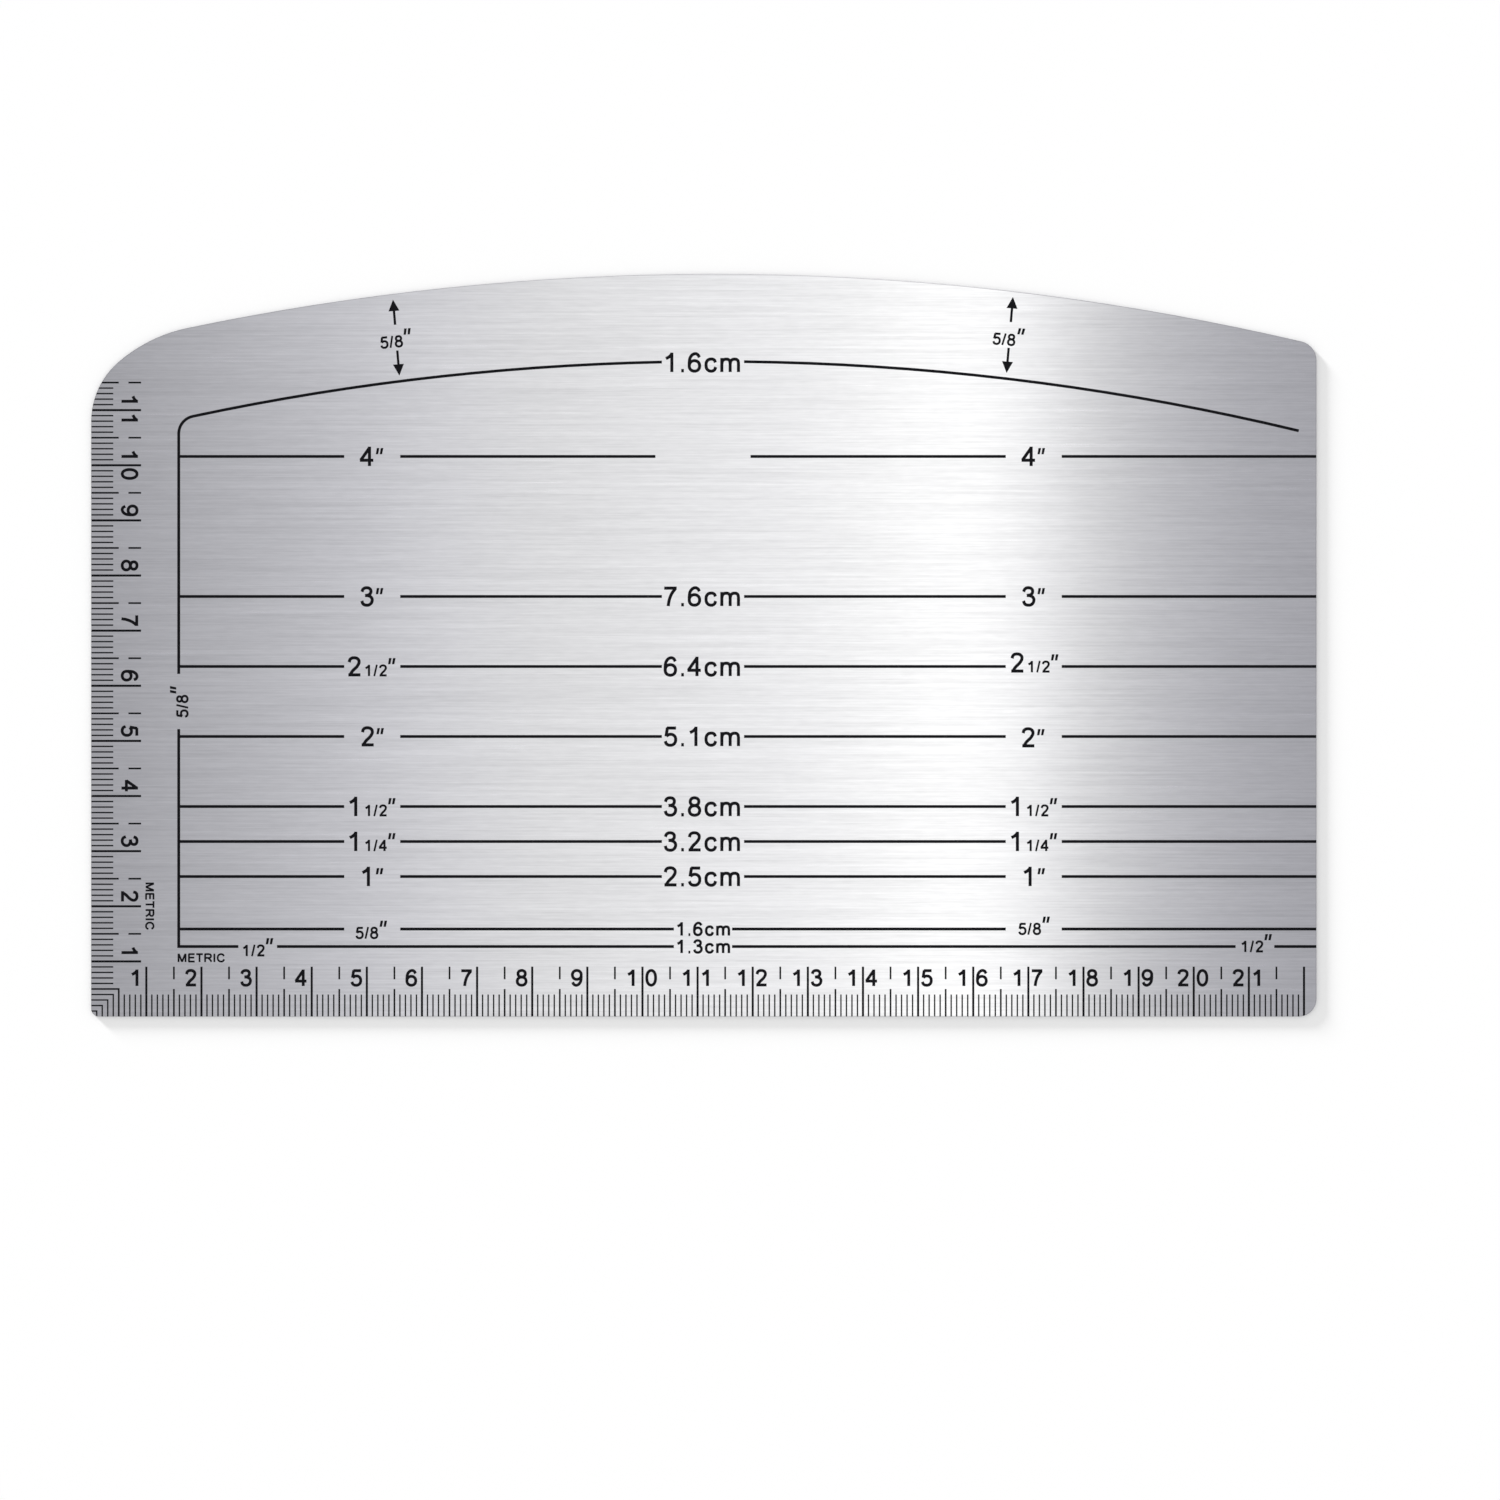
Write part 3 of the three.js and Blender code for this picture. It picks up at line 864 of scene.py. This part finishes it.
class HEM_GAUGE_OT_scale_enamel(bpy.types.Operator):
    """Fill the etched ticks of both scales with enamel"""

    bl_idname = "hem_gauge.scale_enamel"
    bl_label = "Scale Enamel"

    # The side's ticks end this far from the left edge, and start above the nested corner.
    longest_tick = 9.3 * MM
    nested_corner = 5.3 * MM

    # Groove floors lie between the two faces, at least this far from each.
    off_back = 0.2 * MM
    off_front = 0.05 * MM

    # The fill starts just above a floor and passes the sheet's face before it is cut to it.
    clear_of_floor = 0.005 * MM
    fill_height = 0.2 * MM
    sliver = 0.0025 * MM

    def on_side(self, centre):
        return centre.x < LEFT + self.longest_tick and centre.y > BOTTOM + self.nested_corner

    def on_edge(self, centre):
        return centre.y < BOTTOM + self.longest_tick and not self.on_side(centre)

    def is_floor(self, face):
        return face.normal.z > LEVEL and self.off_back < face.center.z < FACE - self.off_front

    def execute(self, context):
        enamel = context.scene.hem_gauge_enamel
        for name, chosen in (("edge_ticks", self.on_edge), ("side_ticks", self.on_side)):
            ticks = self.groove_fill(name, chosen)
            combine(ticks, self.plain_blank(), "INTERSECT")
            self.merge_slivers(ticks)
            enamel_piece(ticks, enamel)
        return {"FINISHED"}

    def plate_copy(self, name):
        """A copy of the sheet with its loose triangles merged."""
        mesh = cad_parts["gauge_plate"].data.copy()
        mesh.materials.clear()
        copy = add_object(name, mesh)
        with edit_mode(copy):
            bpy.ops.mesh.remove_doubles(threshold=MERGE)
        return copy

    def groove_fill(self, name, chosen):
        """Keep the floors of the chosen ticks and pull them up past the sheet's face."""
        ticks = self.plate_copy(name)
        if not delete_faces(ticks, lambda face: not (self.is_floor(face) and chosen(face.center))):
            raise RuntimeError(f"No groove floor was found for {name}.")
        with edit_mode(ticks):
            bpy.ops.mesh.dissolve_limited(angle_limit=FLAT)
            bpy.ops.mesh.select_all(action="SELECT")
            bpy.ops.transform.translate(value=(0.0, 0.0, self.clear_of_floor))
            raise_faces(self.fill_height)
        return ticks

    def plain_blank(self):
        """The sheet without its grooves, which is the hull of its rounded outline."""
        blank = self.plate_copy("blank")
        with edit_mode(blank):
            bpy.ops.mesh.convex_hull(delete_unused=True, use_existing_faces=False)
            face_outwards()
        return blank

    def merge_slivers(self, ticks):
        """Merge the tiny edges that the intersection leaves along the broken edge."""
        with edit_mode(ticks):
            bpy.ops.mesh.remove_doubles(threshold=self.sliver)
            bpy.ops.mesh.dissolve_degenerate(threshold=self.sliver)


class HEM_GAUGE_OT_letter_patterns(bpy.types.Operator):
    """Model each letter once, for the labels to copy"""

    bl_idname = "hem_gauge.letter_patterns"
    bl_label = "Letter Patterns"

    def execute(self, context):
        lettering = context.scene.hem_gauge_lettering
        for style, (pen_setting, signs) in STYLES.items():
            pen = getattr(lettering, pen_setting)
            for sign in signs:
                _, _, strokes = LETTERS[sign]
                bodies = [pen_stroke(kind, points, pen * weight) for kind, points, weight in strokes]
                letter = bodies[0]
                for stroke in bodies[1:]:
                    combine(letter, stroke, "UNION")
                keep_pattern(style, sign, letter)
        keep_pattern("small", INCH_MARK, join([wedge(0.0), wedge(MARK_PITCH)], "inch_mark"))
        return {"FINISHED"}


class HEM_GAUGE_OT_scale_numerals(bpy.types.Operator):
    """Number the centimetres of the straight edge, and of the left side, read downwards"""

    bl_idname = "hem_gauge.scale_numerals"
    bl_label = "Scale Numerals"

    def digits(self, count, before, after):
        """Each digit and its place along a scale: one before a tick, and a second one after it."""
        for centimetre in range(1, count + 1):
            for digit, aside in zip(str(centimetre), (-before, after)):
                yield digit, centimetre * CENTIMETRE + aside

    def execute(self, context):
        enamel, lettering, placement = settings_of(context)
        size = lettering.scale_height
        after = placement.after_tick

        edge = []
        y = BOTTOM + placement.edge_baseline
        before = placement.before_edge_tick + DIGIT * size
        for digit, x in self.digits(EDGE_CENTIMETRES, before, after):
            edge += set_type([numeral("scale", digit, size)], (LEFT + x, y), enamel)
        enamel_piece(join(edge, "edge_numerals"), enamel)

        side = []
        x = LEFT + placement.side_baseline
        before = placement.before_side_tick + DIGIT * size
        for digit, y in self.digits(SIDE_CENTIMETRES, -before, -after):
            side += set_type([numeral("scale", digit, size)], (x, BOTTOM + y), enamel, turn=DOWNWARDS)
        enamel_piece(join(side, "side_numerals"), enamel)
        return {"FINISHED"}


class HEM_GAUGE_OT_inch_labels(bpy.types.Operator):
    """Label the level hem lines in inches, in two columns"""

    bl_idname = "hem_gauge.inch_labels"
    bl_label = "Inch Labels"

    whole = (("four_inch", "4"), ("three_inch", "3"), ("two_inch", "2"), ("one_inch", "1"))

    # Mixed numbers: line, whole number, fraction and whether the right one is lifted with its column.
    mixed = (
        ("two_and_half_inch", "2", "1/2", True),
        ("one_and_half_inch", "1", "1/2", False),
        ("one_and_quarter_inch", "1", "1/4", False),
    )

    # Labels that were printed a little off their column or their line.
    strays = {
        ("left_inch_labels", "two_inch"): (0.11 * MM, 0.0),
        ("right_inch_labels", "two_inch"): (-0.08 * MM, -0.18 * MM),
        ("right_inch_labels", "two_and_half_inch"): (0.22 * MM, -0.04 * MM),
        ("right_inch_labels", "five_eighths_inch"): (0.2 * MM, 0.0),
    }

    def labels(self, lettering, placement, shift, lift, half_start):
        """Each label of a column: its line, its parts, its start, its lift and its tracking."""
        usual = lettering.tracking
        for line_name, text in self.whole:
            parts = [numeral("large", text, lettering.hem_height), inch_mark(lettering)]
            yield line_name, parts, placement.whole_start + shift, 0.0, usual
        for line_name, text, fraction, lifted in self.mixed:
            parts = mixed_number(text, fraction, lettering)
            yield line_name, parts, placement.mixed_start + shift, lift if lifted else 0.0, usual
        lone_start = placement.lone_start + shift
        yield "five_eighths_inch", five_eighths(lettering), lone_start, lift, lettering.fraction_tracking
        tucked_mark = inch_mark(lettering, -lettering.mark_tuck)
        half = [numeral("small", "1/2", lettering.fraction_height), tucked_mark]
        yield "half_inch", half, half_start, lift, usual

    def execute(self, context):
        enamel, lettering, placement = settings_of(context)
        pitch = placement.column_pitch
        for name, *column in (
            ("left_inch_labels", 0.0, 0.0, placement.half_start),
            ("right_inch_labels", pitch, placement.right_lift, placement.half_right_start),
        ):
            copies = []
            for line_name, parts, x, raised, tracking in self.labels(lettering, placement, *column):
                aside, above = self.strays.get((name, line_name), (0.0, 0.0))
                y = line_height(line_name) - placement.hem_drop + raised + above
                copies += set_type(parts, (LEFT + x + aside, y), enamel, tracking)
            enamel_piece(join(copies, name), enamel)
        return {"FINISHED"}


class HEM_GAUGE_OT_curved_hem_labels(bpy.types.Operator):
    """Label the curved hem at its arrows and the side hem in its gap"""

    bl_idname = "hem_gauge.curved_hem_labels"
    bl_label = "Curved and Side Hem Labels"

    # Where each label starts, from the sheet's lower left corner, and its turn.
    places = (
        (52.43 * MM, 121.16 * MM, math.radians(4.8)),
        (163.38 * MM, 122.0 * MM, math.radians(-4.8)),
        (17.56 * MM, 54.15 * MM, math.radians(90.0)),
    )

    def execute(self, context):
        enamel, lettering, _ = settings_of(context)
        parts = five_eighths(lettering)
        copies = []
        for x, y, turn in self.places:
            copies += set_type(parts, (LEFT + x, BOTTOM + y), enamel, lettering.fraction_tracking, turn)
        enamel_piece(join(copies, "curved_and_side_hem_labels"), enamel)
        return {"FINISHED"}


class HEM_GAUGE_OT_centimetre_labels(bpy.types.Operator):
    """Label the hem lines in centimetres down the middle"""

    bl_idname = "hem_gauge.centimetre_labels"
    bl_label = "Centimetre Labels"

    large = (
        ("three_inch", "7.6cm"),
        ("two_and_half_inch", "6.4cm"),
        ("two_inch", "5.1cm"),
        ("one_and_half_inch", "3.8cm"),
        ("one_and_quarter_inch", "3.2cm"),
        ("one_inch", "2.5cm"),
    )
    small = (("five_eighths_inch", "1.6cm"), ("half_inch", "1.3cm"))
    below_curve = 1.91 * MM

    def execute(self, context):
        enamel, lettering, placement = settings_of(context)
        large = ("large", lettering.hem_height, placement.centimetre_start)
        small = ("small", lettering.small_height, placement.small_start)
        labels = [(large, "1.6cm", SHEET_HIGH.y - CURVED_HEM - self.below_curve)]
        for line_name, text in self.large:
            labels.append((large, text, line_height(line_name) - placement.hem_drop))
        for line_name, text in self.small:
            labels.append((small, text, line_height(line_name) - placement.small_drop))
        copies = []
        for (style, height, x), text, y in labels:
            copies += set_type([numeral(style, text, height)], (LEFT + x, y), enamel, lettering.tracking)
        enamel_piece(join(copies, "centimetre_labels"), enamel)
        return {"FINISHED"}


class HEM_GAUGE_OT_unit_words(bpy.types.Operator):
    """Set the unit word beside each scale"""

    bl_idname = "hem_gauge.unit_words"
    bl_label = "Unit Words"

    def execute(self, context):
        enamel, lettering, placement = settings_of(context)
        parts = [numeral("word", "METRIC", lettering.word_height)]
        edge = (LEFT + placement.word_edge_start, BOTTOM + placement.word_edge_baseline)
        side = (LEFT + placement.word_side_baseline, BOTTOM + placement.word_side_start)
        copies = set_type(parts, edge, enamel, lettering.word_tracking)
        copies += set_type(parts, side, enamel, lettering.word_tracking, DOWNWARDS)
        enamel_piece(join(copies, "unit_words"), enamel)
        return {"FINISHED"}


class HEM_GAUGE_OT_stage(bpy.types.Operator):
    """Set up the floor, the light tent, the raking lamp, the world and the camera"""

    bl_idname = "hem_gauge.stage"
    bl_label = "Stage"

    floor_size = 8.0
    floor_gap = 0.01 * MM
    tent_width = 0.9
    tent_height = 0.08
    camera_height = 1.0
    camera_near = 0.01
    camera_far = 20.0

    # A sun shines alike from anywhere, so this only shows where its light comes from.
    lamp_place = (-1.0, 1.0, 0.2)

    # Light of the tent from left to right: place, level and how cool it is there.
    tent_levels = (
        (-0.112, 0.32, 0.075), (-0.104, 0.36, 0.07), (-0.084, 0.43, 0.062), (-0.064, 0.52, 0.058),
        (-0.048, 0.62, 0.042), (-0.030, 0.688, 0.015), (-0.008, 0.754, 0.015), (0.014, 0.817, 0.015),
        (0.028, 0.882, 0.005), (0.040, 0.98, 0.0), (0.052, 1.0, 0.0), (0.061, 0.835, 0.015),
        (0.071, 0.617, 0.02), (0.083, 0.482, 0.055), (0.098, 0.386, 0.075), (0.112, 0.344, 0.085),
    )

    def execute(self, context):
        stage = context.scene.hem_gauge_stage
        self.floor(stage)
        self.tent(stage)
        self.lamp(stage)
        self.world(context.scene, stage)
        self.camera(context.scene, stage)
        context.scene.view_settings.view_transform = "Standard"
        return {"FINISHED"}

    def floor(self, stage):
        deselect()
        bpy.ops.mesh.primitive_plane_add(size=self.floor_size, location=(0.0, 0.0, -self.floor_gap))
        bpy.ops.object.transform_apply(location=True, rotation=False, scale=False)
        floor = bpy.context.object
        floor.name = "floor"
        floor.data.materials.append(pale_floor(stage))

    def tent(self, stage):
        """A low tent that only reflections see, brightest over the right of the sheet."""
        deselect()
        bpy.ops.mesh.primitive_cube_add(size=1.0)
        tent = bpy.context.object
        tent.name = "light_tent"
        tent.scale = (self.tent_width, self.tent_width, self.tent_height)
        tent.location = (0.0, 0.0, self.tent_height / 2)
        bpy.ops.object.transform_apply(location=True, rotation=False, scale=True)
        delete_faces(tent, lambda face: face.normal.z < -LEVEL)
        tent.data.materials.append(tent_light(stage.tent_light, self.tent_levels))
        for ray in ("camera", "diffuse", "shadow", "transmission", "volume_scatter"):
            setattr(tent, f"visible_{ray}", False)

    def lamp(self, stage):
        """A low lamp from the upper left, which draws the sheet's soft shadow."""
        deselect()
        bpy.ops.object.light_add(type="SUN", location=self.lamp_place)
        lamp = bpy.context.object
        lamp.name = "raking_lamp"
        lamp.data.energy = stage.lamp
        lamp.data.angle = stage.lamp_spread
        lamp.rotation_euler = (math.pi / 2 - stage.lamp_height, 0.0, stage.lamp_turn)
        lamp.visible_glossy = False

    def world(self, scene, stage):
        """White where the camera and reflections see it, and a plain fill where it lights."""
        world = bpy.data.worlds.new("studio")
        scene.world = world
        world.use_nodes = True
        nodes = world.node_tree.nodes
        background = nodes["Background"].inputs
        rays = nodes.new("ShaderNodeLightPath").outputs
        shown = maths(nodes, "MAXIMUM", rays["Is Camera Ray"], rays["Is Glossy Ray"])
        shown = maths(nodes, "MAXIMUM", shown, rays["Is Transmission Ray"])
        feed(background["Color"], WHITE)
        feed(background["Strength"], ranged(nodes, shown, 0.0, 1.0, stage.fill, 1.0))

    def camera(self, scene, stage):
        """A camera that looks straight down without perspective, as the photograph does."""
        deselect()
        bpy.ops.object.camera_add(location=(stage.view_x, stage.view_y, self.camera_height))
        camera = bpy.context.object
        camera.rotation_euler = (0.0, 0.0, 0.0)
        camera.data.type = "ORTHO"
        camera.data.ortho_scale = stage.view_width
        camera.data.clip_start = self.camera_near
        camera.data.clip_end = self.camera_far
        scene.camera = camera


class HEM_GAUGE_PT_panel(bpy.types.Panel):
    """Builds the gauge piece by piece"""

    bl_idname = "HEM_GAUGE_PT_panel"
    bl_label = "Hot Hem Gauge"
    bl_space_type = "VIEW_3D"
    bl_region_type = "UI"
    bl_category = "Hem Gauge"

    def draw(self, context):
        layout = self.layout
        for operator in OPERATORS:
            layout.operator(operator.bl_idname)
        for name, group in SETTINGS.items():
            box = layout.box()
            box.label(text=group.__doc__)
            settings = getattr(context.scene, name)
            for key in group.__annotations__:
                box.prop(settings, key)


SETTINGS = {
    "hem_gauge_steel": SteelSettings,
    "hem_gauge_enamel": EnamelSettings,
    "hem_gauge_lettering": LetteringSettings,
    "hem_gauge_placement": PlacementSettings,
    "hem_gauge_stage": StageSettings,
}

OPERATORS = (
    HEM_GAUGE_OT_brushed_sheet,
    HEM_GAUGE_OT_line_enamel,
    HEM_GAUGE_OT_scale_enamel,
    HEM_GAUGE_OT_letter_patterns,
    HEM_GAUGE_OT_scale_numerals,
    HEM_GAUGE_OT_inch_labels,
    HEM_GAUGE_OT_curved_hem_labels,
    HEM_GAUGE_OT_centimetre_labels,
    HEM_GAUGE_OT_unit_words,
    HEM_GAUGE_OT_stage,
)


def register():
    for group in SETTINGS.values():
        bpy.utils.register_class(group)
    for operator in OPERATORS:
        bpy.utils.register_class(operator)
    bpy.utils.register_class(HEM_GAUGE_PT_panel)
    for name, group in SETTINGS.items():
        setattr(bpy.types.Scene, name, PointerProperty(type=group))


def unregister():
    for name in SETTINGS:
        delattr(bpy.types.Scene, name)
    bpy.utils.unregister_class(HEM_GAUGE_PT_panel)
    for operator in reversed(OPERATORS):
        bpy.utils.unregister_class(operator)
    for group in reversed(SETTINGS.values()):
        bpy.utils.unregister_class(group)


def main():
    register()
    bpy.ops.hem_gauge.brushed_sheet()
    bpy.ops.hem_gauge.line_enamel()
    bpy.ops.hem_gauge.scale_enamel()
    bpy.ops.hem_gauge.letter_patterns()
    bpy.ops.hem_gauge.scale_numerals()
    bpy.ops.hem_gauge.inch_labels()
    bpy.ops.hem_gauge.curved_hem_labels()
    bpy.ops.hem_gauge.centimetre_labels()
    bpy.ops.hem_gauge.unit_words()
    bpy.ops.hem_gauge.stage()


if __name__ == "__main__":
    main()
